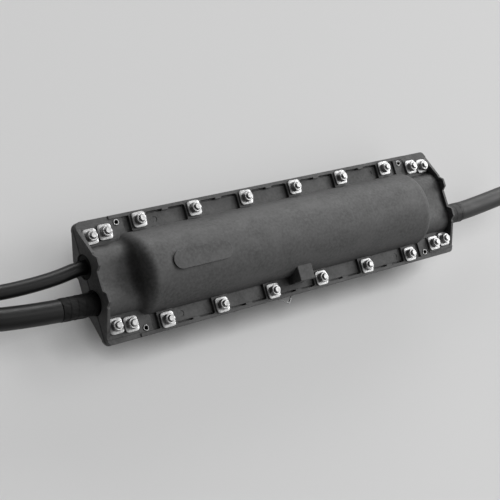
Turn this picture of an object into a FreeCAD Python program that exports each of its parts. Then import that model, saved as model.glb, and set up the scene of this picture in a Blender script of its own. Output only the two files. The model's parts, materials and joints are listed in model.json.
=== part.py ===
import FreeCAD, Part
import math
import os

V = FreeCAD.Vector

# Cables, and the seals that carry them in the ports
main_diameter = 28.5
branch_diameter = 18.5
main_sheath_wall = 3.0
branch_sheath_wall = 2.4
seal_wall = 2.25
seal_length = 28.0
seal_recess = 2.0
sheath_inside = 32.0
cord_start_depth = 13.8
bend_share = 0.45

# Tape wraps on the main cables, just outside the ports
tape_thickness = 0.8
tape_left_length = 48.0
tape_right_length = 38.0
tape_stand_off = 1.0

# Neck with two ports at each end of a half shell, blended into the end of the dome
port_land = 13.0
port_wall = 6.0
valley_radius = 120.0
neck_blend = 12.0

# Upright lip across each end, with a tab over each port
lip_thickness = 5.8
lip_rise = 2.6
lip_shoulder_run = 2.5
lip_foot_inset = 9.5
tab_rise = 7.4
tab_foot = 21.0
tab_top = 11.0
end_draft = 4.7

# Dome of each half shell, part of a cylinder with leaning, rounded ends
dome_side_step = 8.5
dome_axis_drop = 3.0
dome_end_gap = 3.0
dome_end_lean = 8.0
dome_end_round = 16.0
shell_wall = 5.0
end_wall = 7.0

# Clamping hardware
bolt_diameter = 8.0
bolt_hole_diameter = 9.0
bolt_head_across = 13.0
bolt_head_height = 5.3
bolt_stand = 3.0
washer_side = 20.0
washer_clip = 3.5
washer_thickness = 2.5
nut_across = 13.0
nut_height = 6.8
nut_chamfer = 30.0

# Bolt layout: a row along each side, and a pair beside the neck at each end of a row
side_bolts = 6
bolt_pitch = 86.0
pair_gap = 1.6
pair_inner_gap = 3.9
pair_outer_gap = 1.7
washer_dome_gap = 1.8
washer_edge_gap = 2.7
washer_lip_gap = 0.4

# Flange, with heights measured from the parting plane
flange_gap = 1.0
flange_height = 6.9
flange_corner = 8.0
boss_margin = 3.0
pocket_depth = 3.6
pocket_corner = 2.5
rim_width = 4.5
rim_groove_width = 2.2
rim_groove_depth = 1.6
rim_rib_width = 10.0
pad_margin = 1.0
pad_ledge_width = 6.5
pad_ledge_drop = 1.0
mark_diameter = 8.0
mark_depth = 0.4
mark_reach = 25.0

# Lined hanging holes, on a low strip between the last boss and the end pad
hanger_hole_diameter = 4.8
groove_width = 10.0
strip_margin = 4.5
strip_drop = 1.0
liner_wall = 0.9
liner_collar_diameter = 10.0
liner_collar_thickness = 1.0

# Square block beside the dome, and bare raised plate on its crown
block_x = 3.6
block_length = 25.6
block_width = 26.0
block_inset = 14.2
block_height = 29.5
block_round = 1.5
plate_x = -164.5
plate_length = 90.5
plate_width = 24.0
plate_rise = 1.8
plate_root = 4.0

# Seal strips between the flanges
gasket_width = 5.0
gasket_depth = 1.2
gasket_land = 1.8

# Branch splice: modules beside the through core, wire groups and ties
modules_across = 2
module_pairs = 25
module_length = 150.0
module_width = 13.0
module_base_height = 13.0
module_cap_height = 8.5
module_row_gap = 3.0
module_column_gap = 3.0
module_core_gap = 11.5
slot_end_margin = 5.0
slot_width = 2.6
slot_depth = 1.2
slot_height = 3.0
group_diameter = 6.0
group_run = 40.0
group_spread = 3.4
tie_offset = 50.0
tie_width = 5.0
tie_thickness = 1.2

# Sheath bonds: a shoe, stud and nut on each sheath end, joined by a strap
shoe_length = 20.0
shoe_width = 12.0
shoe_thickness = 3.0
shoe_from_end = 5.0
stud_diameter = 5.0
stud_stand = 4.0
strap_width = 10.0
strap_thickness = 1.5
bond_nut_across = 8.0
bond_nut_height = 4.0

# Wire bail under the lower flange, and the lug that carries it
bail_wire = 2.0
bail_x = -15.0
bail_width = 21.7
bail_tip_offset = 5.2
bail_reach = 9.0
bail_pivot_inset = 7.0
bail_drop = 0.5
bail_side_gap = 1.2
bail_grip = 5.0
lug_depth = 8.0
lug_below_pivot = 3.5
lug_root = 1.0
lug_round = 2.5

# Clearances
slide_clearance = 0.3
seat_clearance = 0.05
hinge_clearance = 0.08
touch_tolerance = 0.0001

# Sizes across the closure
port_radius = main_diameter / 2 + seal_wall
port_offset = port_radius + port_land / 2
hump_radius = port_radius + port_wall
neck_half_width = port_offset + hump_radius
lip_height = hump_radius + lip_rise
tab_height = lip_height + tab_rise
dome_radius = neck_half_width + dome_side_step
dome_crown = dome_radius - dome_axis_drop
cavity_radius = dome_radius - shell_wall
bolt_row = dome_radius + washer_dome_gap + washer_side / 2
pair_inner_y = neck_half_width + pair_inner_gap + washer_side / 2
pair_outer_y = neck_half_width + pair_outer_gap + washer_side / 2
flange_half_width = bolt_row + washer_side / 2 + washer_edge_gap
pocket_outer_y = flange_half_width - rim_width
hanger_y = pocket_outer_y - liner_collar_diameter / 2 - slide_clearance

# Sizes along the closure
boss_width = washer_side + 2 * boss_margin
outer_bolt_x = bolt_pitch * (side_bolts - 1) / 2
strip_x = outer_bolt_x + boss_width / 2 + groove_width
pad_x = strip_x + liner_collar_diameter + 2 * strip_margin
hanger_x = (strip_x + pad_x) / 2
dome_half_length = pad_x - dome_end_gap
neck_start_x = dome_half_length - end_wall - dome_end_round
pair_inner_x = pad_x + pad_margin + washer_side / 2
pair_outer_x = pair_inner_x + washer_side + pair_gap
lip_inner_x = pair_outer_x + washer_side / 2 + washer_lip_gap
flange_half_length = lip_inner_x + lip_thickness
seal_outer_x = flange_half_length - seal_recess
seal_inner_x = seal_outer_x - seal_length
cord_start_x = flange_half_length - cord_start_depth
sheath_inner_x = dome_half_length - end_wall - sheath_inside

# Heights
flange_face = flange_gap / 2
pocket_floor = flange_height - pocket_depth
strip_height = flange_height - strip_drop
washer_top = flange_height + washer_thickness
nut_top = washer_top + nut_height
pivot_z = -(flange_height + bail_drop + bail_wire / 2)

# Cable routes on the parting plane, from inside the port to the cut end
left_main_route = [(-292.0, -23.0), (-322.0, -23.0), (-362.0, -21.2),
                   (-402.0, -18.0), (-438.0, -13.9), (-472.0, -8.4)]
left_branch_route = [(-292.0, 23.0), (-314.0, 23.0), (-344.0, 17.9),
                     (-380.0, 15.7), (-418.0, 15.6), (-452.0, 17.6)]
right_main_route = [(292.0, -23.0), (322.0, -23.0), (357.0, -22.3), (394.0, -19.4),
                    (432.0, -15.9), (468.0, -12.5), (502.0, -9.2)]


# Basic forms
def box(x_span, y_span, z_span):
    x0, x1 = sorted(x_span)
    y0, y1 = sorted(y_span)
    z0, z1 = sorted(z_span)
    return Part.makeBox(x1 - x0, y1 - y0, z1 - z0, V(x0, y0, z0))


def about(middle, size):
    return middle - size / 2, middle + size / 2


def x_rod(radius, x_span, y, z):
    x0, x1 = sorted(x_span)
    return Part.makeCylinder(radius, x1 - x0, V(x0, y, z), V(1, 0, 0))


def z_rod(radius, x, y, z_span):
    z0, z1 = sorted(z_span)
    return Part.makeCylinder(radius, z1 - z0, V(x, y, z0), V(0, 0, 1))


def filled(corners):
    return Part.Face(Part.makePolygon(corners + corners[:1]))


def z_prism(outline, z_span):
    z0, z1 = sorted(z_span)
    return filled([V(x, y, z0) for x, y in outline]).extrude(V(0, 0, z1 - z0))


def x_prism(outline, x_span):
    x0, x1 = sorted(x_span)
    return filled([V(x0, y, z) for y, z in outline]).extrude(V(x1 - x0, 0, 0))


def hexagon(across, z_span):
    radius = across / math.sqrt(3)
    turns = [k * math.pi / 3 for k in range(6)]
    return z_prism([(radius * math.cos(t), radius * math.sin(t)) for t in turns], z_span)


def arc_yz(x, y, z, radius, start, end):
    def point(angle):
        turn = math.radians(angle)
        return V(x, y + radius * math.cos(turn), z + radius * math.sin(turn))
    return Part.Arc(point(start), point((start + end) / 2), point(end)).toShape()


def round_upright_edges(solid, radius):
    upright = [e for e in solid.Edges if e.BoundBox.ZLength > e.BoundBox.XLength + e.BoundBox.YLength]
    return solid.makeFillet(radius, upright)


def lean_ends(solid, half_length, half_width, z_span, angle):
    z0, z1 = z_span
    lean = (z1 - z0) * math.tan(math.radians(angle))
    for end in (-1, 1):
        corners = [V(end * half_length, -half_width, z0), V(end * half_length, -half_width, z1),
                   V(end * (half_length - lean), -half_width, z1)]
        solid = solid.cut(filled(corners).extrude(V(0, 2 * half_width, 0)))
    return solid


def moved(solid, x, y):
    copy = solid.copy()
    copy.translate(V(x, y, 0))
    return copy


def turned_over(solid):
    copy = solid.copy()
    copy.rotate(V(0, 0, 0), V(1, 0, 0), 180)
    return copy


def fuse_all(solids):
    return solids[0].multiFuse(solids[1:]).removeSplitter()


# Places of the bolts and hanging holes
def side_bolt_xs():
    return [bolt_pitch * k - outer_bolt_x for k in range(side_bolts)]


def bolt_places():
    places = []
    for side in (-1, 1):
        places += [(x, side * bolt_row) for x in side_bolt_xs()]
        for end in (-1, 1):
            places.append((end * pair_inner_x, side * pair_inner_y))
            places.append((end * pair_outer_x, side * pair_outer_y))
    return places


def hanger_places():
    return [(end * hanger_x, side * hanger_y) for end in (-1, 1) for side in (-1, 1)]


# Flange with bosses, pockets, strips and end pads
def flange_block(top):
    z_span = (flange_face, top)
    body = box((-flange_half_length, flange_half_length), (-flange_half_width, flange_half_width), z_span)
    body = lean_ends(body, flange_half_length, flange_half_width, z_span, end_draft)
    return round_upright_edges(body, flange_corner)


def pocket(x0, x1, side):
    middle = (x0 + x1) / 2
    length = x1 - x0 - boss_width
    body = box(about(middle, length), (side * cavity_radius, side * pocket_outer_y),
               (pocket_floor, flange_height))
    body = round_upright_edges(body, pocket_corner)
    across = (side * pocket_outer_y, side * (pocket_outer_y - rim_groove_width))
    groove_floor = pocket_floor - rim_groove_depth
    groove = box(about(middle, length - 2 * pocket_corner), across, (groove_floor, pocket_floor))
    rib = box(about(middle, rim_rib_width), across, (groove_floor, flange_height))
    return body.fuse(groove).cut(rib)


def end_steps(end, side):
    across = (side * cavity_radius, side * pocket_outer_y)
    edge = (side * (flange_half_width - pad_ledge_width), side * flange_half_width)
    boss_end = end * (outer_bolt_x + boss_width / 2)
    mark = z_rod(mark_diameter / 2, end * (outer_bolt_x - mark_reach), side * (bolt_row - boss_margin),
                 (pocket_floor - mark_depth, pocket_floor))
    return [box((boss_end, end * strip_x), across, (pocket_floor, flange_height)),
            box((end * strip_x, end * pad_x), across, (strip_height, flange_height)),
            box((end * pad_x, end * flange_half_length), edge,
                (flange_height - pad_ledge_drop, flange_height)),
            mark]


def flange():
    xs = side_bolt_xs()
    cuts = []
    for side in (-1, 1):
        cuts += [pocket(x0, x1, side) for x0, x1 in zip(xs[:-1], xs[1:])]
        for end in (-1, 1):
            cuts += end_steps(end, side)
    return flange_block(flange_height).cut(cuts)


# Dome, necks, lips, block and plate of a half shell
def dome(radius, half_length, end_round, floor):
    z_span = (floor, radius)
    body = x_rod(radius, (-half_length, half_length), 0.0, -dome_axis_drop)
    body = body.common(box((-half_length, half_length), (-radius, radius), z_span))
    body = lean_ends(body, half_length, radius, z_span, dome_end_lean)
    rims = []
    for face in body.Faces:
        if abs(face.normalAt(0, 0).x) > math.cos(math.radians(2 * dome_end_lean)):
            rims += [e for e in face.Edges if e.BoundBox.ZMax > floor + seat_clearance]
    return body.makeFillet(end_round, rims)


def neck(x_span):
    x0, x1 = sorted(x_span)
    rise = math.sqrt((hump_radius + valley_radius) ** 2 - port_offset ** 2)
    lean = math.degrees(math.atan2(rise, port_offset))
    base = math.degrees(math.asin(flange_face / hump_radius))
    profile = [arc_yz(x0, port_offset, 0.0, hump_radius, base, 180.0 - lean),
               arc_yz(x0, 0.0, rise, valley_radius, -lean, lean - 180.0),
               arc_yz(x0, -port_offset, 0.0, hump_radius, lean, 180.0 - base)]
    profile.append(Part.makeLine(profile[2].Vertexes[-1].Point, profile[0].Vertexes[0].Point))
    return Part.Face(Part.Wire(profile)).extrude(V(x1 - x0, 0, 0))


def on_skin(solid, point):
    return solid.Shells[0].distToShape(Part.Vertex(point))[0] < touch_tolerance


def hood():
    cylinder = dome(dome_radius, dome_half_length, dome_end_round, flange_face)
    necks = [neck((end * neck_start_x, end * lip_inner_x)) for end in (-1, 1)]
    body = fuse_all([cylinder] + necks)
    seams = []
    for edge in body.Edges:
        middle = edge.valueAt((edge.FirstParameter + edge.LastParameter) / 2)
        if edge.BoundBox.ZMax > flange_face + seat_clearance and on_skin(cylinder, middle):
            seams += [edge for n in necks if on_skin(n, middle)]
    return body.makeFillet(neck_blend, seams)


def lip(end):
    foot = flange_half_width - lip_foot_inset
    shoulder = port_offset + tab_foot / 2 + lip_shoulder_run
    right = [(foot, flange_face), (foot, flange_height), (shoulder, lip_height),
             (port_offset + tab_foot / 2, lip_height), (port_offset + tab_top / 2, tab_height),
             (port_offset - tab_top / 2, tab_height), (port_offset - tab_foot / 2, lip_height)]
    left = [(-y, z) for y, z in reversed(right)]
    body = x_prism(right + left, (end * lip_inner_x, end * flange_half_length))
    return body.common(flange_block(tab_height))


def block():
    y0 = block_inset - flange_half_width
    body = box(about(block_x, block_length), (y0, y0 + block_width), (flange_face, block_height))
    tops = [e for e in body.Edges if e.BoundBox.ZMax > flange_face + seat_clearance]
    return body.makeFillet(block_round, tops)


def plate():
    radius = plate_width / 2
    reach = plate_length / 2 - radius
    z_span = (dome_crown - plate_root, dome_crown + plate_rise)
    bar = box(about(plate_x, 2 * reach), (-radius, radius), z_span)
    ends = [z_rod(radius, plate_x + end * reach, 0.0, z_span) for end in (-1, 1)]
    return fuse_all([bar] + ends)


# Seal strips, and the grooves that hold them
def strip(path, width, z_span):
    pieces = [z_rod(width / 2, x, y, z_span) for x, y in path[1:-1]]
    for (xa, ya), (xb, yb) in zip(path[:-1], path[1:]):
        length = math.hypot(xb - xa, yb - ya)
        dx = (ya - yb) / length * width / 2
        dy = (xb - xa) / length * width / 2
        pieces.append(z_prism([(xa + dx, ya + dy), (xa - dx, ya - dy),
                               (xb - dx, yb - dy), (xb + dx, yb + dy)], z_span))
    return fuse_all(pieces)


def gasket_strips(width, z_span):
    straight_y = cavity_radius + gasket_land + gasket_width / 2
    turn_x = dome_half_length - end_wall - shell_wall
    end_x = (seal_inner_x + seal_outer_x) / 2
    end_y = port_offset + port_radius - gasket_width / 2
    between = port_offset - port_radius + gasket_width / 2
    strips = []
    for side in (-1, 1):
        path = [(-end_x, side * end_y), (-turn_x, side * straight_y),
                (turn_x, side * straight_y), (end_x, side * end_y)]
        strips.append(strip(path, width, z_span))
    for end in (-1, 1):
        strips.append(box(about(end * end_x, width), (-between, between), z_span))
    return strips


def port_rods(radius, x0, x1):
    return [x_rod(radius, (end * x0, end * x1), side * port_offset, 0.0)
            for end in (-1, 1) for side in (-1, 1)]


def gaskets():
    half = flange_face + gasket_depth
    seals = port_rods(port_radius, seal_inner_x, seal_outer_x)
    return [s.cut(seals) for s in gasket_strips(gasket_width, (-half, half))]


# Half shell, the same moulding above and below
def half_shell():
    solids = [flange(), hood(), block(), plate(), lip(-1), lip(1)]
    cuts = [dome(cavity_radius, dome_half_length - end_wall, dome_end_round - shell_wall, 0.0)]
    cuts += port_rods(port_radius, neck_start_x, flange_half_length)
    cuts += gasket_strips(gasket_width + 2 * slide_clearance, (0.0, flange_face + gasket_depth))
    cuts += [z_rod(bolt_hole_diameter / 2, x, y, (0.0, flange_height)) for x, y in bolt_places()]
    liner_radius = hanger_hole_diameter / 2 + liner_wall + seat_clearance
    cuts += [z_rod(liner_radius, x, y, (0.0, strip_height)) for x, y in hanger_places()]
    return fuse_all(solids).cut(cuts)


# Round wire or cable along straight runs joined by arcs
def wire(points, diameter, bends):
    edges = []
    here = points[0]
    for before, corner, after, radius in zip(points[:-2], points[1:-1], points[2:], bends):
        inward = (before - corner).normalize()
        onward = (after - corner).normalize()
        half_turn = (math.pi - inward.getAngle(onward)) / 2
        reach = radius * math.tan(half_turn)
        start = corner + inward * reach
        finish = corner + onward * reach
        middle = corner + (inward + onward).normalize() * (radius / math.cos(half_turn) - radius)
        edges.append(Part.LineSegment(here, start).toShape())
        edges.append(Part.Arc(start, middle, finish).toShape())
        here = finish
    edges.append(Part.LineSegment(here, points[-1]).toShape())
    path = Part.Wire(edges)
    circle = Part.makeCircle(diameter / 2, points[0], points[1] - points[0])
    return path.makePipe(Part.Face(Part.Wire(circle))), path.Length


# Wire bail and its lug
bail_left = bail_x - bail_width / 2
bail_right = bail_x + bail_width / 2
bail_pivot_y = pocket_outer_y - bail_pivot_inset
lug_left = bail_left + bail_wire / 2 + bail_side_gap
lug_right = bail_right - bail_wire / 2 - bail_side_gap


def lug():
    body = box((lug_left, lug_right), about(-bail_pivot_y, lug_depth),
               (pivot_z - lug_below_pivot, lug_root - pocket_floor))
    low_edges = [e for e in body.Edges if e.BoundBox.ZMax < pivot_z and e.BoundBox.XLength > lug_depth]
    return body.makeFillet(lug_round, low_edges)


def lug_hole():
    return x_rod(bail_wire / 2 + hinge_clearance, (lug_left, lug_right), -bail_pivot_y, pivot_z)


def bail():
    route = [(lug_left + bail_grip, bail_pivot_y), (bail_left, bail_pivot_y),
             (bail_left, flange_half_width), (bail_x + bail_tip_offset, flange_half_width + bail_reach),
             (bail_right, flange_half_width), (bail_right, bail_pivot_y),
             (lug_right - bail_grip, bail_pivot_y)]
    points = [V(x, -y, pivot_z) for x, y in route]
    return wire(points, bail_wire, [bail_wire] * (len(points) - 2))[0]


# Clamping hardware
def washer():
    half = washer_side / 2
    clip = half - washer_clip
    outline = [(half, -clip), (half, clip), (clip, half), (-clip, half),
               (-half, clip), (-half, -clip), (-clip, -half), (clip, -half)]
    z_span = (flange_height, washer_top)
    return z_prism(outline, z_span).cut(z_rod(bolt_diameter / 2 + slide_clearance, 0.0, 0.0, z_span))


def nut():
    corner = nut_across / math.sqrt(3)
    bevel = (corner - nut_across / 2) * math.tan(math.radians(nut_chamfer))
    turned = z_rod(corner, 0.0, 0.0, (washer_top, nut_top - bevel))
    turned = turned.fuse(Part.makeCone(corner, nut_across / 2, bevel, V(0, 0, nut_top - bevel)))
    body = hexagon(nut_across, (washer_top, nut_top)).common(turned.removeSplitter())
    return body.cut(z_rod(bolt_diameter / 2 + slide_clearance, 0.0, 0.0, (washer_top, nut_top)))


def bolt():
    head = hexagon(bolt_head_across, (-washer_top - bolt_head_height, -washer_top))
    shank = z_rod(bolt_diameter / 2, 0.0, 0.0, (-washer_top, nut_top + bolt_stand))
    return head.fuse(shank).removeSplitter()


def liner(foot):
    bore = hanger_hole_diameter / 2
    top = strip_height + liner_collar_thickness
    tube = z_rod(bore + liner_wall, 0.0, 0.0, (foot, strip_height))
    collar = z_rod(liner_collar_diameter / 2, 0.0, 0.0, (strip_height, top))
    return tube.fuse(collar).removeSplitter().cut(z_rod(bore, 0.0, 0.0, (foot, top)))


# Seals and plug in the ports
def port_seal(end, side, cable_diameter):
    x_span = (end * seal_inner_x, end * seal_outer_x)
    ring = x_rod(port_radius - slide_clearance, x_span, side * port_offset, 0.0)
    return ring.cut(x_rod(cable_diameter / 2 + seat_clearance, x_span, side * port_offset, 0.0))


def port_plug(end, side):
    x_span = (end * seal_inner_x, end * seal_outer_x)
    dish_span = (end * (seal_outer_x - seal_recess), end * seal_outer_x)
    body = x_rod(port_radius - slide_clearance, x_span, side * port_offset, 0.0)
    return body.cut(x_rod(port_radius - port_wall, dish_span, side * port_offset, 0.0))


# Cables, tape wraps and sheath ends
def cable(route, diameter):
    points = [V(x, y, 0.0) for x, y in route]
    bends = []
    for before, corner, after in zip(points[:-2], points[1:-1], points[2:]):
        half_turn = (math.pi - (before - corner).getAngle(after - corner)) / 2
        shorter = min((before - corner).Length, (after - corner).Length)
        bends.append(bend_share * shorter / math.tan(half_turn))
    tube, length = wire(points, diameter, bends)
    ratio = tube.Volume / (math.pi * diameter ** 2 / 4 * length)
    print("diameter", round(diameter, 1), "length", round(length, 1), "volume ratio", round(ratio, 4),
          "bend radii", [round(r) for r in bends])
    return tube


def tape_wrap(route, diameter, length, end):
    x0 = end * (flange_half_length + tape_stand_off)
    bore = diameter + 2 * seat_clearance
    sleeve = cable(route, bore + 2 * tape_thickness).cut(cable(route, bore))
    everywhere = (-flange_half_width, flange_half_width)
    return sleeve.common(box((x0, x0 + end * length), everywhere, everywhere))


def sheath_end(end, side, diameter, wall):
    x_span = (end * cord_start_x, end * sheath_inner_x)
    tube = x_rod(diameter / 2, x_span, side * port_offset, 0.0)
    return tube.cut(x_rod(diameter / 2 - wall, x_span, side * port_offset, 0.0))


# Cores and branch splice inside
main_core_radius = main_diameter / 2 - main_sheath_wall - slide_clearance
branch_core_radius = branch_diameter / 2 - branch_sheath_wall - slide_clearance
branch_core_x = -module_length / 2 - group_run
module_y0 = -port_offset + main_core_radius + module_core_gap
module_split = module_row_gap / 2 + module_base_height
module_top = module_split + module_cap_height
module_ys = [module_y0 + module_width / 2 + k * (module_width + module_column_gap)
             for k in range(modules_across)]
main_core = x_rod(main_core_radius, (-cord_start_x, cord_start_x), -port_offset, 0.0)
branch_core = x_rod(branch_core_radius, (-cord_start_x, branch_core_x), port_offset, 0.0)


def module_base(y):
    return box(about(0.0, module_length), about(y, module_width), (module_row_gap / 2, module_split))


def module_cap(y):
    body = box(about(0.0, module_length), about(y, module_width), (module_split, module_top))
    comb_length = module_length - 2 * slot_end_margin
    pitch = comb_length / module_pairs
    slots = []
    for k in range(module_pairs):
        x = (k + 0.5) * pitch - comb_length / 2
        for side in (-1, 1):
            wall = y + side * module_width / 2
            slots.append(box(about(x, slot_width), (wall, wall - side * slot_depth),
                             (module_split, module_split + slot_height)))
    return body.cut(slots)


def both_rows(module_piece):
    solids = []
    for y in module_ys:
        for turn in (0, 180):
            solid = module_piece(y)
            solid.rotate(V(0, y, 0), V(1, 0, 0), turn)
            solids.append(solid)
    return solids


def slanted_group(start, end):
    along = V(*end) - V(*start)
    spare = along * (group_diameter / along.x)
    rod = Part.makeCylinder(group_diameter / 2, along.Length + 2 * spare.Length, V(*start) - spare, along)
    inside = (-dome_radius, dome_radius)
    return rod.common(box((start[0], end[0]), inside, inside))


def wire_groups():
    half = module_length / 2
    level = (module_row_gap + module_base_height) / 2
    groups = []
    for k, y in enumerate(module_ys):
        lean = 2 * k - modules_across + 1
        for up in (-1, 1):
            leaving = (branch_core_x, port_offset + lean * group_spread, up * group_spread)
            groups.append(slanted_group(leaving, (-half, y, up * level)))
            joining = (half + group_run * (k + 1), -port_offset, up * (main_core_radius - group_spread))
            groups.append(slanted_group((half, y, up * level), joining).cut(main_core))
    return groups


# Tie drawn tight round the through core and the modules
def tie(middle_x):
    x = middle_x - tie_width / 2
    far_y = module_ys[-1] + module_width / 2
    span_y = module_y0 + port_offset
    tangent = math.atan2(module_top, span_y) + math.acos(main_core_radius / math.hypot(span_y, module_top))
    reach = math.degrees(tangent)
    core_side = arc_yz(x, -port_offset, 0.0, main_core_radius, reach, 360.0 - reach)
    start, end = [v.Point for v in core_side.Vertexes]
    corners = [end, V(x, module_y0, -module_top), V(x, far_y, -module_top),
               V(x, far_y, module_top), V(x, module_y0, module_top), start]
    sides = [Part.makeLine(a, b) for a, b in zip(corners[:-1], corners[1:])]
    outline = Part.Wire([core_side] + sides)
    inner = Part.Face(outline.makeOffset2D(slide_clearance))
    outer = Part.Face(outline.makeOffset2D(slide_clearance + tie_thickness))
    return outer.cut(inner).extrude(V(tie_width, 0, 0))


# Sheath bonds
strap_foot = main_diameter / 2 + seat_clearance + shoe_thickness
strap_top = strap_foot + strap_thickness
bond_nut_top = strap_top + bond_nut_height
bond_x = sheath_inner_x + shoe_from_end + shoe_length / 2
bond_places = [(-bond_x, -port_offset), (-bond_x, port_offset), (bond_x, -port_offset)]


def bond_shoe(place, diameter):
    x, y = place
    plate_span = (diameter / 2 + seat_clearance, strap_foot)
    body = box(about(x, shoe_length), about(y, shoe_width), plate_span)
    stud = z_rod(stud_diameter / 2, x, y, (strap_foot, bond_nut_top + stud_stand))
    return body.fuse(stud).removeSplitter()


def bond_nut(x, y):
    z_span = (strap_top, bond_nut_top)
    body = hexagon(bond_nut_across, z_span)
    return moved(body.cut(z_rod(stud_diameter / 2 + seat_clearance, 0.0, 0.0, z_span)), x, y)


def bond_strap():
    z_span = (strap_foot, strap_top)
    along = box(about(0.0, 2 * bond_x + strap_width), about(-port_offset, strap_width), z_span)
    across = box(about(-bond_x, strap_width), about(0.0, 2 * port_offset + strap_width), z_span)
    holes = [z_rod(stud_diameter / 2 + seat_clearance, x, y, z_span) for x, y in bond_places]
    return along.fuse(across).removeSplitter().cut(holes)


# Nodes
def build():
    upper = half_shell()
    lower = turned_over(upper).fuse(lug()).removeSplitter().cut(lug_hole())
    upper_washers = [moved(washer(), x, y) for x, y in bolt_places()]
    left_main, left_branch, right_main = bond_places
    return {
        "upper_shell": [upper],
        "lower_shell": [lower],
        "flange_gaskets": gaskets(),
        "flange_bolts": [moved(bolt(), x, y) for x, y in bolt_places()],
        "upper_washers": upper_washers,
        "lower_washers": [turned_over(w) for w in upper_washers],
        "flange_nuts": [moved(nut(), x, y) for x, y in bolt_places()],
        "upper_hole_liners": [moved(liner(flange_face), x, y) for x, y in hanger_places()],
        "lower_hole_liners": [turned_over(moved(liner(-flange_face), x, y)) for x, y in hanger_places()],
        "left_main_seal": [port_seal(-1, -1, main_diameter)],
        "left_branch_seal": [port_seal(-1, 1, branch_diameter)],
        "right_main_seal": [port_seal(1, -1, main_diameter)],
        "port_plug": [port_plug(1, 1)],
        "left_main_cable": [cable(left_main_route, main_diameter)],
        "left_branch_cable": [cable(left_branch_route, branch_diameter)],
        "right_main_cable": [cable(right_main_route, main_diameter)],
        "left_tape_wrap": [tape_wrap(left_main_route, main_diameter, tape_left_length, -1)],
        "right_tape_wrap": [tape_wrap(right_main_route, main_diameter, tape_right_length, 1)],
        "left_main_sheath_end": [sheath_end(-1, -1, main_diameter, main_sheath_wall)],
        "left_branch_sheath_end": [sheath_end(-1, 1, branch_diameter, branch_sheath_wall)],
        "right_main_sheath_end": [sheath_end(1, -1, main_diameter, main_sheath_wall)],
        "main_core": [main_core],
        "branch_core": [branch_core],
        "wire_groups": wire_groups(),
        "splice_module_bases": both_rows(module_base),
        "splice_module_caps": both_rows(module_cap),
        "bundle_ties": [tie(-tie_offset), tie(tie_offset)],
        "left_main_bond_shoe": [bond_shoe(left_main, main_diameter)],
        "left_branch_bond_shoe": [bond_shoe(left_branch, branch_diameter)],
        "right_main_bond_shoe": [bond_shoe(right_main, main_diameter)],
        "bond_strap": [bond_strap()],
        "bond_nuts": [bond_nut(x, y) for x, y in bond_places],
        "wire_bail": [bail()],
    }


os.makedirs("parts", exist_ok=True)
for name, solids in build().items():
    shape = solids[0] if len(solids) == 1 else Part.makeCompound(solids)
    shape.exportStep("parts/" + name + ".step")
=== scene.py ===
import json
import math

import bpy
from mathutils import Matrix, Vector, noise

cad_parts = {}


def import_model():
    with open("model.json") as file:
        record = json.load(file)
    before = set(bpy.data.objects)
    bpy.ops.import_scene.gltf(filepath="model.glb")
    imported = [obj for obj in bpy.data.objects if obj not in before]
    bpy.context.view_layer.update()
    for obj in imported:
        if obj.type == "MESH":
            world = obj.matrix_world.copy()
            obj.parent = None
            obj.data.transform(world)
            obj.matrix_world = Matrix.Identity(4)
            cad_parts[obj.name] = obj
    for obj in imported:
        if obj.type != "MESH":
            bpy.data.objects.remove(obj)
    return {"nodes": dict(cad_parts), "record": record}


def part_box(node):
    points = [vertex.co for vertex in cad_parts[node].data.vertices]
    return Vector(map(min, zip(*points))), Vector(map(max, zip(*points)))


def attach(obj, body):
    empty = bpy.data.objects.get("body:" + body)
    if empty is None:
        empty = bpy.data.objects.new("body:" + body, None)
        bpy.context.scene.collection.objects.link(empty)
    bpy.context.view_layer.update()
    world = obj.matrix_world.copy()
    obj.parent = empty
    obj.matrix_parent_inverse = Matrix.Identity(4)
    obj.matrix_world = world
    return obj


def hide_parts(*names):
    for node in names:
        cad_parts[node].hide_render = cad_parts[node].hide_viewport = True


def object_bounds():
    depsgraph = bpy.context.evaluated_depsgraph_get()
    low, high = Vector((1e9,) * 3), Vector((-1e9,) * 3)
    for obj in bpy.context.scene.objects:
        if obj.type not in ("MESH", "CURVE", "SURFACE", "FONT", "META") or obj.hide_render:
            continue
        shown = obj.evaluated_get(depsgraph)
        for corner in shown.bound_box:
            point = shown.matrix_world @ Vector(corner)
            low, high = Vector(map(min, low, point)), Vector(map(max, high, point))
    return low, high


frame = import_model()
cad_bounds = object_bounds()

# Lengths are in metres, unless a note beside the value says what it is a share of

# Cables: routes along the middle line, from inside the port to the cut end
main_diameter = 0.0285
branch_diameter = 0.0185
left_main_route = [(-0.292, -0.023), (-0.322, -0.023), (-0.362, -0.0212),
                   (-0.402, -0.018), (-0.438, -0.0139), (-0.472, -0.0084)]
left_branch_route = [(-0.292, 0.023), (-0.314, 0.023), (-0.344, 0.0179),
                     (-0.38, 0.0157), (-0.418, 0.0156), (-0.452, 0.0176)]
right_main_route = [(0.292, -0.023), (0.322, -0.023), (0.357, -0.0223), (0.394, -0.0194),
                    (0.432, -0.0159), (0.468, -0.0125), (0.502, -0.0092)]
route_steps = 24
sheath_steps = 14

# Tape wraps: laps one pitch apart, with folds from a noise that has its own scale each way
tape_pitch = 0.0105
tape_step = 0.00035
tape_wrinkle = 0.0007
tape_rows_per_metre = 1600
tape_columns = 96
fold_along = 90.0
fold_lean = 1.5
fold_round = 2.2
fold_lift = 0.4
fine_fold_scale = 2.3
fine_fold_share = 0.5
left_tape_seed = 0.0
right_tape_seed = 5.0

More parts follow.
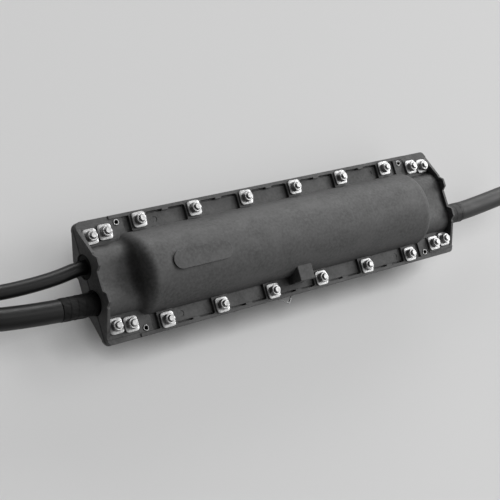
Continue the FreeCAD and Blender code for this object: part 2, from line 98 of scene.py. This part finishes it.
# Clamping hardware, at the places of the solids
bolt_row = 0.0658
bolt_pitch = 0.086
side_bolts = 6
end_pair = [(0.268, 0.0594), (0.2896, 0.0572)]
flange_face = 0.0005
flange_height = 0.0069
bolt_radius = 0.004
bolt_stand = 0.003
bolt_head_height = 0.0053
thread_pitch = 0.00125
thread_depth = 0.0007
thread_rows = 5  # in each pitch
thread_end = 0.9  # of the thread's depth
washer_half = 0.01
washer_thickness = 0.0025
washer_power = 5.5
washer_edge = 0.0005
washer_rounding = 0.3  # of the edge
nut_across = 0.013
nut_height = 0.0068
nut_bore = 0.0043
hexagon_rows = 16
chamfer_start = 0.96  # of the width across flats
chamfer_slope = math.tan(math.radians(30))
worn_corner = 0.975  # of the full corner
golden_turn = math.radians(137.5)
hardware_columns = 48

# Eyelets in the hanging holes
hanger_place = (0.2475, 0.0687)
eyelet_bore = 0.0024
eyelet_wall = 0.0009
eyelet_roll = 0.00095
eyelet_bends = 10
# Thickness of the near-black skin inside each eyelet's bore, which paints the shade in the hole
shade_skin_thickness = 0.0001
strip_height = 0.0059

# Wires of the cores and of the branch splice, at the places of the solids
port_offset = 0.023
core_end = 0.292
main_core_radius = 0.01095
main_strands = 18
main_lay = 0.2
branch_core_radius = 0.00655
branch_core_end = -0.115
branch_strands = 14
branch_lay = 0.15
module_half = 0.075
module_rows = [0.00595, 0.02195]
module_level = 0.008
group_radius = 0.003
group_run = 0.04
group_spread = 0.0034
group_strands = 8
group_lay = 0.05
bundle_row = 0.006
strand_columns = 8
filler_depth = 1.2  # radii of a strand
filler_columns = 24
wire_shade = 0.7  # of the wire's light colour

# Cut ends of the cables: depths and stands are measured from the end of the sheath
main_wall = 0.003
branch_wall = 0.0024
cut_depth = 0.001
shield_wall = 0.0006
shield_stand = 0.0005
filler_stand = 0.0002
cut_wire_radius = 0.00105
cut_wire_pitch = 2.04  # radii of a wire
cut_wire_stand = 0.0005
cut_wire_spread = 0.0008
cut_wire_edge = 0.0001
cut_wire_columns = 12
copper_share = 0.45  # of the wire's radius
copper_stand = 0.0002

# Shell finish, with dirt along the joint of the two shells
shell_dark = 0.034
shell_light = 0.071
speck_light = 0.092
speck_share = 0.75
joint_dark = 0.006
joint_grime = 0.95
joint_band = (0.0011, 0.0019)
soft_edge = 0.0008
soft_edge_samples = 6

# Edges that turn by more than these angles are shaded sharp
metal_sharp_angle = math.radians(35)
mixed_sharp_angle = math.radians(50)

# Camera at the photograph's viewing angle, for a square picture
camera_place = (-1.04448, -0.11089, 1.34757)
camera_right = (0.784219, -0.28009, 0.55367)
camera_up = (0.190122, 0.957867, 0.215277)
camera_sensor = 36.0
camera_lens = 89.712

# Stage: the floor's glow, light painted into the floor, is dimmed where the object closes off the side
# named by contact_from, which paints a soft contact shadow
floor_gap = 0.0005
floor_half_size = 9.0
# The floor's colour runs from floor_near towards floor_far along X plus Y, lighter towards -X and -Y
# away from the lamps: painted light that evens out their falloff
floor_near = 0.8
floor_far = 0.66
floor_turn = 1.2
floor_cloud = 0.1
backdrop_share = 0.5
backdrop_grey = 0.62
contact_from = (0.0, 0.76, 0.65)
contact_reach = 0.07
contact_closed = 0.44
contact_open = 0.86
contact_samples = 16
world_dark = 0.03
world_light = 0.4
world_turn = 0.6

# Lights aimed at the origin: place, size and radiance
light_table = {
    "key": ((5.0, 0.7, 3.35), (4.0, 1.8), 9.3),
    "top": ((2.3, 0.5, 4.4), (1.4, 1.4), 3.5),
    "fill": ((2.0, -1.9, 2.4), (2.6, 2.6), 1.0),
    "low": ((2.9, 4.9, 1.7), (5.0, 1.7), 9.0),
}


# Building node materials
class Shader:
    def __init__(self, name):
        self.material = bpy.data.materials.new(name)
        self.material.use_nodes = True
        self.tree = self.material.node_tree
        self.surface = self.tree.nodes["Principled BSDF"]
        self.place = self.add("ShaderNodeTexCoord").outputs["Object"]

    def add(self, kind, **values):
        made = self.tree.nodes.new(kind)
        for name, value in values.items():
            setattr(made, name, value)
        return made

    def link(self, source, target):
        self.tree.links.new(source, target)

    def set(self, **values):
        for name, value in values.items():
            self.surface.inputs[name.replace("_", " ")].default_value = value

    def scaled(self, stretch):
        mapping = self.add("ShaderNodeMapping")
        mapping.inputs["Scale"].default_value = stretch
        self.link(self.place, mapping.inputs["Vector"])
        return mapping.outputs["Vector"]

    def split(self, vector):
        made = self.add("ShaderNodeSeparateXYZ")
        self.link(vector, made.inputs["Vector"])
        return made.outputs

    def noise(self, scale, detail=4.0, roughness=0.55, stretch=None):
        made = self.add("ShaderNodeTexNoise")
        made.inputs["Scale"].default_value = scale
        made.inputs["Detail"].default_value = detail
        made.inputs["Roughness"].default_value = roughness
        self.link(self.scaled(stretch) if stretch else self.place, made.inputs["Vector"])
        return made.outputs["Fac"]

    def ramp(self, source, low=0.0, high=1.0, start=0.3, end=0.7):
        made = self.add("ShaderNodeMapRange")
        made.inputs["From Min"].default_value = start
        made.inputs["From Max"].default_value = end
        made.inputs["To Min"].default_value = low
        made.inputs["To Max"].default_value = high
        self.link(source, made.inputs["Value"])
        return made.outputs["Result"]

    def mix(self, share, first, second):
        made = self.add("ShaderNodeMix", data_type="RGBA")
        self.link(share, made.inputs["Factor"])
        for colour, socket in ((first, "A"), (second, "B")):
            target = next(s for s in made.inputs if s.name == socket and s.type == "RGBA")
            if isinstance(colour, tuple):
                target.default_value = colour
            else:
                self.link(colour, target)
        return next(s for s in made.outputs if s.type == "RGBA")

    def calculate(self, operation, *sources, clamp=False):
        made = self.add("ShaderNodeMath", operation=operation, use_clamp=clamp)
        for source, target in zip(sources, made.inputs):
            self.link(source, target)
        return made.outputs["Value"]

    def soft_edges(self, radius):
        made = self.add("ShaderNodeBevel", samples=soft_edge_samples)
        made.inputs["Radius"].default_value = radius
        return made.outputs["Normal"]

    def bump(self, height, distance, strength, under=None):
        made = self.add("ShaderNodeBump")
        made.inputs["Distance"].default_value = distance
        made.inputs["Strength"].default_value = strength
        self.link(height, made.inputs["Height"])
        if under:
            self.link(under, made.inputs["Normal"])
        return made.outputs["Normal"]

    def wear(self, colour, roughness=None, normal=None):
        for source, name in ((colour, "Base Color"), (roughness, "Roughness"), (normal, "Normal")):
            if source:
                self.link(source, self.surface.inputs[name])


def grey(value):
    return (value, value, value, 1.0)


def shell_plastic():
    s = Shader("shell_plastic")
    s.set(IOR=1.5)
    flow = s.noise(scale=26.0, detail=5.0, stretch=(0.6, 1.4, 1.4))
    specks = s.noise(scale=260.0, detail=2.0)
    base = s.mix(s.ramp(flow), grey(shell_dark), grey(shell_light))
    worn = s.mix(s.ramp(specks, high=speck_share), base, grey(speck_light))
    facing_up = s.split(s.add("ShaderNodeNewGeometry").outputs["Normal"])["Z"]
    upright = s.ramp(s.calculate("ABSOLUTE", facing_up), low=1.0, high=0.0, start=0.3, end=0.6)
    from_joint = s.calculate("ABSOLUTE", s.split(s.place)["Z"])
    near_joint = s.ramp(from_joint, low=1.0, high=0.0, start=joint_band[0], end=joint_band[1])
    grime = s.ramp(s.calculate("MULTIPLY", upright, near_joint), high=joint_grime, start=0.0, end=1.0)
    colour = s.mix(grime, worn, grey(joint_dark))
    roughness = s.ramp(s.noise(scale=55.0), low=0.6, high=0.72)
    grain = s.bump(s.noise(scale=1400.0, detail=2.0), distance=0.00012, strength=0.35,
                   under=s.soft_edges(soft_edge))
    waves = s.bump(s.noise(scale=90.0, detail=3.0), distance=0.0006, strength=0.16, under=grain)
    s.wear(colour, roughness, waves)
    return s.material


def zinc_steel(name, dark, light, roughness, metallic=1.0):
    s = Shader(name)
    s.set(Metallic=metallic)
    s.wear(s.mix(s.ramp(s.noise(scale=220.0)), grey(dark), grey(light)),
           s.ramp(s.noise(scale=350.0, detail=3.0), low=roughness - 0.06, high=roughness + 0.08),
           s.bump(s.noise(scale=700.0, detail=2.0), distance=0.00003, strength=0.2))
    return s.material


def seal_rubber():
    s = Shader("seal_rubber")
    s.set(Specular_IOR_Level=0.15)
    s.wear(s.mix(s.noise(scale=120.0), grey(0.004), grey(0.012)),
           s.ramp(s.noise(scale=80.0), low=0.65, high=0.85),
           s.bump(s.noise(scale=500.0), distance=0.0002, strength=0.4))
    return s.material


def cable_sheath(name, dark, light, gloss, roughness):
    s = Shader(name)
    s.set(Specular_IOR_Level=gloss)
    streaks = s.noise(scale=30.0, stretch=(0.25, 8.0, 8.0))
    waves = s.noise(scale=60.0, detail=3.0, stretch=(0.4, 3.0, 3.0))
    s.wear(s.mix(s.ramp(streaks), grey(dark), grey(light)),
           s.ramp(s.noise(scale=70.0), low=roughness - 0.05, high=roughness + 0.05),
           s.bump(waves, distance=0.0006, strength=0.2))
    return s.material


def tape(name, dark, light, gloss):
    s = Shader(name)
    s.set(Specular_IOR_Level=gloss)
    s.wear(s.mix(s.noise(scale=200.0), grey(dark), grey(light)),
           s.ramp(s.noise(scale=90.0), low=0.5, high=0.65),
           s.bump(s.noise(scale=700.0), distance=0.0002, strength=0.4))
    return s.material


def plain_plastic(name, dark, light, roughness):
    s = Shader(name)
    s.wear(s.mix(s.ramp(s.noise(scale=60.0)), dark, light),
           s.ramp(s.noise(scale=150.0), low=roughness - 0.06, high=roughness + 0.08),
           s.bump(s.noise(scale=900.0), distance=0.0001, strength=0.3))
    return s.material


def plain_metal(name, dark, light, roughness):
    s = Shader(name)
    s.set(Metallic=1.0)
    s.wear(s.mix(s.ramp(s.noise(scale=90.0)), dark, light),
           s.ramp(s.noise(scale=240.0), low=roughness - 0.08, high=roughness + 0.1),
           s.bump(s.noise(scale=700.0), distance=0.00008, strength=0.3))
    return s.material


# One material for each slot, and those of single pieces
materials = {
    "shell_plastic": shell_plastic(),
    "zinc_steel": zinc_steel("zinc_steel", dark=0.32, light=0.51, roughness=0.46, metallic=0.95),
    "seal_rubber": seal_rubber(),
    "cable_sheath": cable_sheath("cable_sheath", dark=0.018, light=0.034, gloss=0.35, roughness=0.5),
    "tape": tape("tape", dark=0.016, light=0.028, gloss=0.3),
    "wire_insulation": plain_plastic(
        "wire_insulation", dark=(0.5, 0.48, 0.42, 1), light=(0.62, 0.6, 0.55, 1), roughness=0.5),
    "module_base_plastic": plain_plastic(
        "module_base", dark=(0.56, 0.52, 0.4, 1), light=(0.66, 0.62, 0.5, 1), roughness=0.4),
    "module_cap_plastic": plain_plastic(
        "module_cap", dark=(0.68, 0.68, 0.66, 1), light=(0.78, 0.78, 0.77, 1), roughness=0.3),
    "tie_plastic": plain_plastic(
        "tie", dark=(0.62, 0.62, 0.58, 1), light=(0.74, 0.74, 0.7, 1), roughness=0.4),
    "bond_brass": plain_metal(
        "bond_brass", dark=(0.6, 0.44, 0.18, 1), light=(0.76, 0.6, 0.3, 1), roughness=0.32),
    "bond_strap_metal": plain_metal("bond_strap", dark=grey(0.55), light=grey(0.7), roughness=0.35),
}
own_finish = {
    "wire_bail": zinc_steel("dull_zinc", dark=0.22, light=0.34, roughness=0.38),
    "port_plug": plain_plastic("plug_rubber", dark=grey(0.03), light=grey(0.045), roughness=0.6),
}
worn_liner = zinc_steel("worn_liner", dark=0.24, light=0.36, roughness=0.4)
# Near-black finish of that skin: painted shade in the eyelet holes
painted_hole_shade = plain_plastic("painted_hole_shade", dark=grey(0.004), light=grey(0.01), roughness=0.8)
# Darker, less glossy copy of the cable sheath for the left cables: painted shade, since they are the
# same cable as on the right
shaded_sheath = cable_sheath("shaded_sheath", dark=0.003, light=0.006, gloss=0.26, roughness=0.42)
# Darker, less glossy copy of the tape for the left wrap: painted shade, since it is the same tape as
# on the right
shaded_tape = tape("shaded_tape", dark=0.006, light=0.012, gloss=0.12)
shield_metal = plain_metal("shield", dark=grey(0.45), light=grey(0.6), roughness=0.4)
copper = plain_metal("copper", dark=(0.5, 0.24, 0.13, 1), light=(0.68, 0.36, 0.22, 1), roughness=0.3)
wire_colours = [
    plain_plastic(name, dark=(wire_shade * r, wire_shade * g, wire_shade * b, 1),
                  light=(r, g, b, 1), roughness=0.45)
    for name, r, g, b in (("blue_wire", 0.06, 0.13, 0.36), ("orange_wire", 0.52, 0.2, 0.05),
                          ("green_wire", 0.06, 0.24, 0.1), ("brown_wire", 0.18, 0.09, 0.05),
                          ("slate_wire", 0.22, 0.23, 0.25))]


def wire_colour(k):
    return wire_colours[k // 2 % len(wire_colours)] if k % 2 else materials["wire_insulation"]


def dress_frame():
    for part in frame["record"]["subparts"]:
        mesh = frame["nodes"][part["node"]].data
        mesh.materials.clear()
        mesh.materials.append(own_finish.get(part["node"], materials[part["material_slot"]]))


# Meshes made of rings of points
def mesh_piece(name, vertices, faces, material, sharp_angle=math.pi):
    data = bpy.data.meshes.new(name)
    data.from_pydata(vertices, [], faces)
    data.validate()
    for polygon in data.polygons:
        polygon.use_smooth = True
    data.set_sharp_from_angle(angle=sharp_angle)
    data.materials.append(material)
    made = bpy.data.objects.new(name, data)
    bpy.context.scene.collection.objects.link(made)
    return made


def lofted(rings, looped=False):
    columns = len(rings[0])
    vertices = [point for ring in rings for point in ring]
    starts = [row * columns for row in range(len(rings))]
    pairs = list(zip(starts[:-1], starts[1:]))
    if looped:
        pairs.append((starts[-1], 0))
    faces = []
    for low, high in pairs:
        for column in range(columns):
            after = (column + 1) % columns
            faces.append((low + column, low + after, high + after, high + column))
    if not looped:
        faces.append(tuple(reversed(range(columns))))
        faces.append(tuple(range(starts[-1], starts[-1] + columns)))
    return vertices, faces


def turned_rings(profile, columns=hardware_columns):
    turns = [math.tau * k / columns for k in range(columns)]
    rings = []
    for reach, height in profile:
        reaches = [reach(turn) if callable(reach) else reach for turn in turns]
        rings.append([Vector((r * math.cos(t), r * math.sin(t), height))
                      for r, t in zip(reaches, turns)])
    return rings


def copies(form, spots):
    vertices, faces = [], []
    for spot in spots:
        first = len(vertices)
        vertices += [spot @ point for point in form[0]]
        faces += [tuple(first + corner for corner in face) for face in form[1]]
    return vertices, faces


def mixed_piece(name, coloured_forms):
    vertices, faces, colours = [], [], []
    for form, material in coloured_forms:
        first = len(vertices)
        vertices += form[0]
        faces += [tuple(first + corner for corner in face) for face in form[1]]
        colours += [material] * len(form[1])
    palette = list(dict.fromkeys(colours))
    made = mesh_piece(name, vertices, faces, palette[0], mixed_sharp_angle)
    for material in palette[1:]:
        made.data.materials.append(material)
    indices = [palette.index(material) for material in colours]
    made.data.polygons.foreach_set("material_index", indices)
    return made


# Clamping hardware and eyelets
def square_reach(half):
    def reach(turn):
        corner = abs(math.cos(turn)) ** washer_power + abs(math.sin(turn)) ** washer_power
        return half / corner ** (1 / washer_power)
    return reach


def hexagon_reach(limit):
    def reach(turn):
        return min(nut_across / 2 / math.cos(turn % (math.pi / 3) - math.pi / 6), limit)
    return reach


def thread_reach(height):
    def reach(turn):
        lap = (height / thread_pitch - turn / math.tau) % 1.0
        return bolt_radius - thread_depth * abs(2 * lap - 1)
    return reach


def bore(low, high):
    mouth = nut_bore + washer_edge
    return [(mouth, high), (nut_bore, high - washer_edge), (nut_bore, low + washer_edge), (mouth, low)]


def washer():
    low, high = flange_height, flange_height + washer_thickness
    edge = washer_edge
    rounding = washer_rounding * edge
    rim = [(washer_half - edge, low), (washer_half, low + edge), (washer_half, high - edge),
           (washer_half - rounding, high - rounding), (washer_half - edge, high)]
    profile = [(square_reach(half), height) for half, height in rim]
    return lofted(turned_rings(profile + bore(low, high)), looped=True)


def hexagon_sides(low, high, bevel_low, bevel_high):
    corner = worn_corner * nut_across / math.sqrt(3)
    face = chamfer_start * nut_across / 2
    heights = [low + (high - low) * k / hexagon_rows for k in range(hexagon_rows + 1)]
    profile = []
    for height in heights:
        limits = [corner]
        limits += [face + (height - low) / chamfer_slope] if bevel_low else []
        limits += [face + (high - height) / chamfer_slope] if bevel_high else []
        profile.append((hexagon_reach(min(limits)), height))
    return profile


def nut():
    low = flange_height + washer_thickness
    high = low + nut_height
    profile = hexagon_sides(low, high, bevel_low=True, bevel_high=True) + bore(low, high)
    return lofted(turned_rings(profile), looped=True)


def bolt():
    seat = -flange_height - washer_thickness
    top = nut_height + bolt_stand - seat
    thread_top = top - thread_depth
    rows = round((thread_top - flange_face) / thread_pitch * thread_rows)
    heights = [flange_face + (thread_top - flange_face) * k / rows for k in range(rows + 1)]
    profile = hexagon_sides(seat - bolt_head_height, seat, bevel_low=True, bevel_high=False)
    profile += [(bolt_radius, seat), (bolt_radius, 0.0)]
    profile += [(thread_reach(height), height) for height in heights]
    profile.append((bolt_radius - thread_end * thread_depth, top))
    return lofted(turned_rings(profile))


def eyelet(foot):
    middle = eyelet_bore + eyelet_roll
    bends = [math.pi * k / eyelet_bends for k in range(eyelet_bends + 1)]
    profile = [(middle + eyelet_roll * math.cos(bend), strip_height + eyelet_roll * math.sin(bend))
               for bend in bends]
    profile += [(eyelet_bore, foot), (eyelet_bore + eyelet_wall, foot),
                (eyelet_bore + eyelet_wall, strip_height)]
    return lofted(turned_rings(profile), looped=True)


# A thin skin lining the bore, drawn near-black to paint the shade inside the hole
def eyelet_shade_skin(foot):
    skin = eyelet_bore - shade_skin_thickness
    profile = [(skin, foot), (eyelet_bore, foot), (eyelet_bore, strip_height), (skin, strip_height)]
    return lofted(turned_rings(profile), looped=True)


def bolt_places():
    places = [(bolt_pitch * (k - (side_bolts - 1) / 2), bolt_row) for k in range(side_bolts)]
    places += [(end * x, y) for x, y in end_pair for end in (-1, 1)]
    return [(x, side * y) for x, y in places for side in (-1, 1)]


def set_down(places, turn_step=0.0, under=False):
    over = Matrix.Rotation(math.pi, 4, "X") if under else Matrix.Identity(4)
    return [over @ Matrix.Translation((x, y, 0.0)) @ Matrix.Rotation(k * turn_step, 4, "Z")
            for k, (x, y) in enumerate(places)]


def zinc_piece(made, node, body):
    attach(made, body)
    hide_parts(node)


def metal_set(name, node, body, form, spots):
    made = mesh_piece(name, *copies(form, spots), materials["zinc_steel"], metal_sharp_angle)
    zinc_piece(made, node, body)


def eyelet_set(name, node, body, foot, spots):
    made = mixed_piece(name, [(copies(eyelet(foot), spots), worn_liner),
                              (copies(eyelet_shade_skin(foot), spots), painted_hole_shade)])
    zinc_piece(made, node, body)


def hardware():
    places = bolt_places()
    turned = set_down(places, golden_turn)
    metal_set("threaded_bolts", "flange_bolts", "base", bolt(), turned)
    metal_set("chamfered_nuts", "flange_nuts", "cover", nut(), turned)
    metal_set("square_washers", "upper_washers", "cover", washer(), set_down(places))
    metal_set("square_washers_below", "lower_washers", "base", washer(),
              set_down(places, under=True))
    x, y = hanger_place
    corners = [(end * x, side * y) for end in (-1, 1) for side in (-1, 1)]
    eyelet_set("eyelets", "upper_hole_liners", "cover", flange_face, set_down(corners))
    eyelet_set("eyelets_below", "lower_hole_liners", "base", -flange_face,
               set_down(corners, under=True))


# Wires: bundles laid round a filler, and the cut ends of the cables
def facing(start, along):
    return Matrix.Translation(start) @ along.to_track_quat("Z", "Y").to_matrix().to_4x4()


def strand(length, reach, radius, lay, share):
    rows = max(2, round(length / bundle_row))
    rings = []
    for row in range(rows + 1):
        height = length * row / rows
        turn = math.tau * (share + height / lay)
        middle = Vector((reach * math.cos(turn), reach * math.sin(turn), height))
        rings.append([middle + point for point in turned_rings([(radius, 0.0)], strand_columns)[0]])
    return lofted(rings)


def bundle(start, end, radius, strands, lay):
    start, end = Vector(start), Vector(end)
    spot = facing(start, end - start)
    length = (end - start).length
    gap = math.sin(math.pi / strands)
    wire = radius * gap / (1 + gap)
    inside = radius - filler_depth * wire
    filler = lofted(turned_rings([(inside, 0.0), (inside, length)], filler_columns))
    forms = [(filler, materials["wire_insulation"])]
    for k in range(strands):
        forms.append((strand(length, radius - wire, wire, lay, k / strands), wire_colour(k)))
    return [(copies(form, [spot]), colour) for form, colour in forms]


def group_bundles():
    made = []
    for k, y in enumerate(module_rows):
        lean = 2 * k - len(module_rows) + 1
        for up in (-1, 1):
            leaving = (branch_core_end, port_offset + lean * group_spread, up * group_spread)
            joining = (module_half + group_run * (k + 1), -port_offset,
                       up * (main_core_radius - group_spread))
            for start, end in ((leaving, (-module_half, y, up * module_level)),
                               ((module_half, y, up * module_level), joining)):
                made += bundle(start, end, group_radius, group_strands, group_lay)
    return made


def wire_piece(name, node, forms):
    made = mixed_piece(name, forms)
    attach(made, "base")
    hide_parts(node)


def wires():
    main = bundle((-core_end, -port_offset, 0.0), (core_end, -port_offset, 0.0),
                  main_core_radius, main_strands, main_lay)
    branch = bundle((-core_end, port_offset, 0.0), (branch_core_end, port_offset, 0.0),
                    branch_core_radius, branch_strands, branch_lay)
    wire_piece("main_wires", "main_core", main)
    wire_piece("branch_wires", "branch_core", branch)
    wire_piece("wire_bundles", "wire_groups", group_bundles())


def packed_places(radius, pitch):
    rows = math.ceil(radius / pitch) + 1
    spots = [((i + 0.5 * (j % 2)) * pitch, j * pitch * math.sqrt(0.75))
             for j in range(-rows, rows + 1) for i in range(-rows, rows + 1)]
    return [spot for spot in spots if math.hypot(*spot) <= radius]


def cut_end(name, route, diameter, wall):
    last, tip = [Vector((*point, 0.0)) for point in route[-2:]]
    spot = facing(tip, tip - last)
    rim = diameter / 2 - wall
    inside = rim - shield_wall
    shield = [(rim, -cut_depth), (rim, shield_stand), (inside, shield_stand), (inside, -cut_depth)]
    filler = [(inside, -cut_depth), (inside, filler_stand)]
    forms = [(lofted(turned_rings(shield), looped=True), shield_metal),
             (lofted(turned_rings(filler)), materials["seal_rubber"])]
    r = cut_wire_radius
    for k, (x, y) in enumerate(packed_places(inside - r, cut_wire_pitch * r)):
        height = cut_wire_stand + cut_wire_spread * (k * golden_turn % 1.0)
        jacket = [(r, 0.0), (r, height - cut_wire_edge), (r - cut_wire_edge, height)]
        lead = [(copper_share * r, 0.0), (copper_share * r, height + copper_stand)]
        for profile, colour in ((jacket, wire_colour(k)), (lead, copper)):
            form = lofted(turned_rings(profile, cut_wire_columns))
            forms.append((copies(form, [Matrix.Translation((x, y, 0.0))]), colour))
    made = mixed_piece(name, [(copies(form, [spot]), colour) for form, colour in forms])
    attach(made, "base")
    return made


# Cables
def route_spline(name, route):
    data = bpy.data.curves.new(name, "CURVE")
    data.dimensions = "3D"
    data.resolution_u = route_steps
    spline = data.splines.new("NURBS")
    spline.points.add(len(route) - 1)
    for point, (x, y) in zip(spline.points, route):
        point.co = (x, y, 0.0, 1.0)
    spline.order_u = 3
    spline.use_endpoint_u = True
    made = bpy.data.objects.new(name, data)
    bpy.context.scene.collection.objects.link(made)
    return made


def cable(name, node, route, diameter, material):
    made = route_spline(name, route)
    made.data.bevel_depth = diameter / 2
    made.data.bevel_resolution = sheath_steps
    made.data.use_fill_caps = True
    made.data.materials.append(material)
    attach(made, "base")
    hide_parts(node)
    return made


def route_line(route):
    bare = route_spline("line", route)
    line = bpy.data.meshes.new_from_object(bare)
    points = [v.co.copy() for v in line.vertices]
    bpy.data.objects.remove(bare)
    bpy.data.meshes.remove(line)
    return points


def point_at_x(points, x):
    for a, b in zip(points[:-1], points[1:]):
        if min(a.x, b.x) <= x <= max(a.x, b.x):
            return a.lerp(b, (x - a.x) / (b.x - a.x)), (b - a).normalized()
    raise ValueError("the route does not pass this place")


def tape_radius(radius, along, turn, seed):
    lap = (along / tape_pitch - turn / math.tau) % 1.0
    step = tape_step * (1.0 - lap)
    spot = Vector((along * fold_along + fold_lean * turn,
                   fold_round * math.cos(turn), fold_round * math.sin(turn) + seed))
    folds = noise.noise(spot) + fine_fold_share * noise.noise(spot * fine_fold_scale)
    return radius + step + tape_wrinkle * max(0.0, fold_lift + folds)


def tape_wrap(name, node, route, diameter, material, seed):
    low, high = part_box(node)
    points = route_line(route)
    up = Vector((0, 0, 1))
    rows = round((high.x - low.x) * tape_rows_per_metre)
    rings = []
    for row in range(rows + 1):
        x = low.x + (high.x - low.x) * row / rows
        middle, along = point_at_x(points, x)
        side = up.cross(along).normalized()
        wrapped = 0 < row < rows
        ring = []
        for column in range(tape_columns):
            turn = math.tau * column / tape_columns
            out = side * math.cos(turn) + up * math.sin(turn)
            radius = tape_radius(diameter / 2, x, turn, seed) if wrapped else diameter / 2
            ring.append(middle + out * radius)
        rings.append(ring)
    made = mesh_piece(name, *lofted(rings), material)
    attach(made, "base")
    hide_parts(node)
    return made


def cables():
    # The left wrap takes the darker copy of the tape, as painted shade
    left_wrap = tape_wrap("left_wound_tape", "left_tape_wrap", left_main_route, main_diameter,
                          shaded_tape, left_tape_seed)
    right_wrap = tape_wrap("right_wound_tape", "right_tape_wrap", right_main_route, main_diameter,
                           materials["tape"], right_tape_seed)
    # The left cables take the darker copy of the sheath, as painted shade
    left = cable("left_main_sheath", "left_main_cable", left_main_route, main_diameter,
                 shaded_sheath)
    branch = cable("left_branch_sheath", "left_branch_cable", left_branch_route, branch_diameter,
                   shaded_sheath)
    right = cable("right_main_sheath", "right_main_cable", right_main_route, main_diameter,
                  materials["cable_sheath"])
    left_cut = cut_end("left_main_cut", left_main_route, main_diameter, main_wall)
    branch_cut = cut_end("left_branch_cut", left_branch_route, branch_diameter, branch_wall)
    right_cut = cut_end("right_main_cut", right_main_route, main_diameter, main_wall)


# Stage, light and camera
def pale_backdrop(s):
    rays = s.add("ShaderNodeLightPath").outputs
    seen = rays["Is Camera Ray"]
    for name in ("Is Glossy Ray", "Is Transmission Ray"):
        seen = s.calculate("ADD", seen, rays[name], clamp=True)
    share = s.ramp(seen, high=backdrop_share, start=0.0, end=1.0)
    lit_from = s.add("ShaderNodeCombineXYZ")
    for axis, part in zip("XYZ", contact_from):
        lit_from.inputs[axis].default_value = part
    # Occlusion towards contact_from dims the glow next to the object: a painted contact shadow
    painted_contact_shadow = s.add("ShaderNodeAmbientOcclusion", samples=contact_samples)
    painted_contact_shadow.inputs["Distance"].default_value = contact_reach
    s.link(lit_from.outputs["Vector"], painted_contact_shadow.inputs["Normal"])
    glow = s.add("ShaderNodeEmission")
    glow.inputs["Color"].default_value = grey(backdrop_grey)
    strength = s.ramp(painted_contact_shadow.outputs["AO"], start=contact_closed, end=contact_open)
    s.link(strength, glow.inputs["Strength"])
    both = s.add("ShaderNodeMixShader")
    s.link(share, both.inputs["Fac"])
    s.link(s.surface.outputs["BSDF"], both.inputs[1])
    s.link(glow.outputs["Emission"], both.inputs[2])
    s.link(both.outputs["Shader"], s.tree.nodes["Material Output"].inputs["Surface"])


def floor():
    level = cad_bounds[0].z - floor_gap
    half = floor_half_size
    corners = [(-half, -half, level), (half, -half, level), (half, half, level), (-half, half, level)]
    s = Shader("floor")
    s.set(Roughness=0.9, Specular_IOR_Level=0.1)
    split = s.split(s.place)
    # Painted light: the floor is lighter away from the lamps
    across = s.ramp(s.calculate("ADD", split["X"], split["Y"]), start=-floor_turn, end=floor_turn)
    painted_falloff = s.mix(across, grey(floor_near), grey(floor_far))
    s.wear(s.mix(s.ramp(s.noise(scale=1.5), high=floor_cloud), painted_falloff, grey(floor_far)))
    pale_backdrop(s)
    mesh_piece("floor", corners, [(0, 1, 2, 3)], s.material)


def world():
    made = bpy.data.worlds.new("studio")
    bpy.context.scene.world = made
    made.use_nodes = True
    tree = made.node_tree
    direction = tree.nodes.new("ShaderNodeTexCoord").outputs["Generated"]
    split = tree.nodes.new("ShaderNodeSeparateXYZ")
    tree.links.new(direction, split.inputs["Vector"])
    glow = tree.nodes.new("ShaderNodeMapRange")
    glow.inputs["From Min"].default_value = -world_turn
    glow.inputs["From Max"].default_value = world_turn
    glow.inputs["To Min"].default_value = world_dark
    glow.inputs["To Max"].default_value = world_light
    tree.links.new(split.outputs["X"], glow.inputs["Value"])
    tree.links.new(glow.outputs["Result"], tree.nodes["Background"].inputs["Color"])


def lights():
    for name, (place, size, radiance) in light_table.items():
        data = bpy.data.lights.new(name, "AREA")
        data.shape = "RECTANGLE"
        data.size, data.size_y = size
        data.energy = radiance * math.pi * data.size * data.size_y
        made = bpy.data.objects.new(name, data)
        bpy.context.scene.collection.objects.link(made)
        made.visible_camera = False
        made.location = place
        made.rotation_mode = "QUATERNION"
        made.rotation_quaternion = (-Vector(place)).to_track_quat("-Z", "Y")


def camera():
    data = bpy.data.cameras.new("camera")
    data.sensor_width = camera_sensor
    data.lens = camera_lens
    made = bpy.data.objects.new("camera", data)
    bpy.context.scene.collection.objects.link(made)
    right, up = Vector(camera_right), Vector(camera_up)
    turn = Matrix((right, up, right.cross(up))).transposed()
    made.matrix_world = Matrix.Translation(camera_place) @ turn.to_4x4()
    bpy.context.scene.camera = made


bpy.context.scene.view_settings.view_transform = "Standard"
dress_frame()
hardware()
wires()
cables()
floor()
world()
lights()
camera()
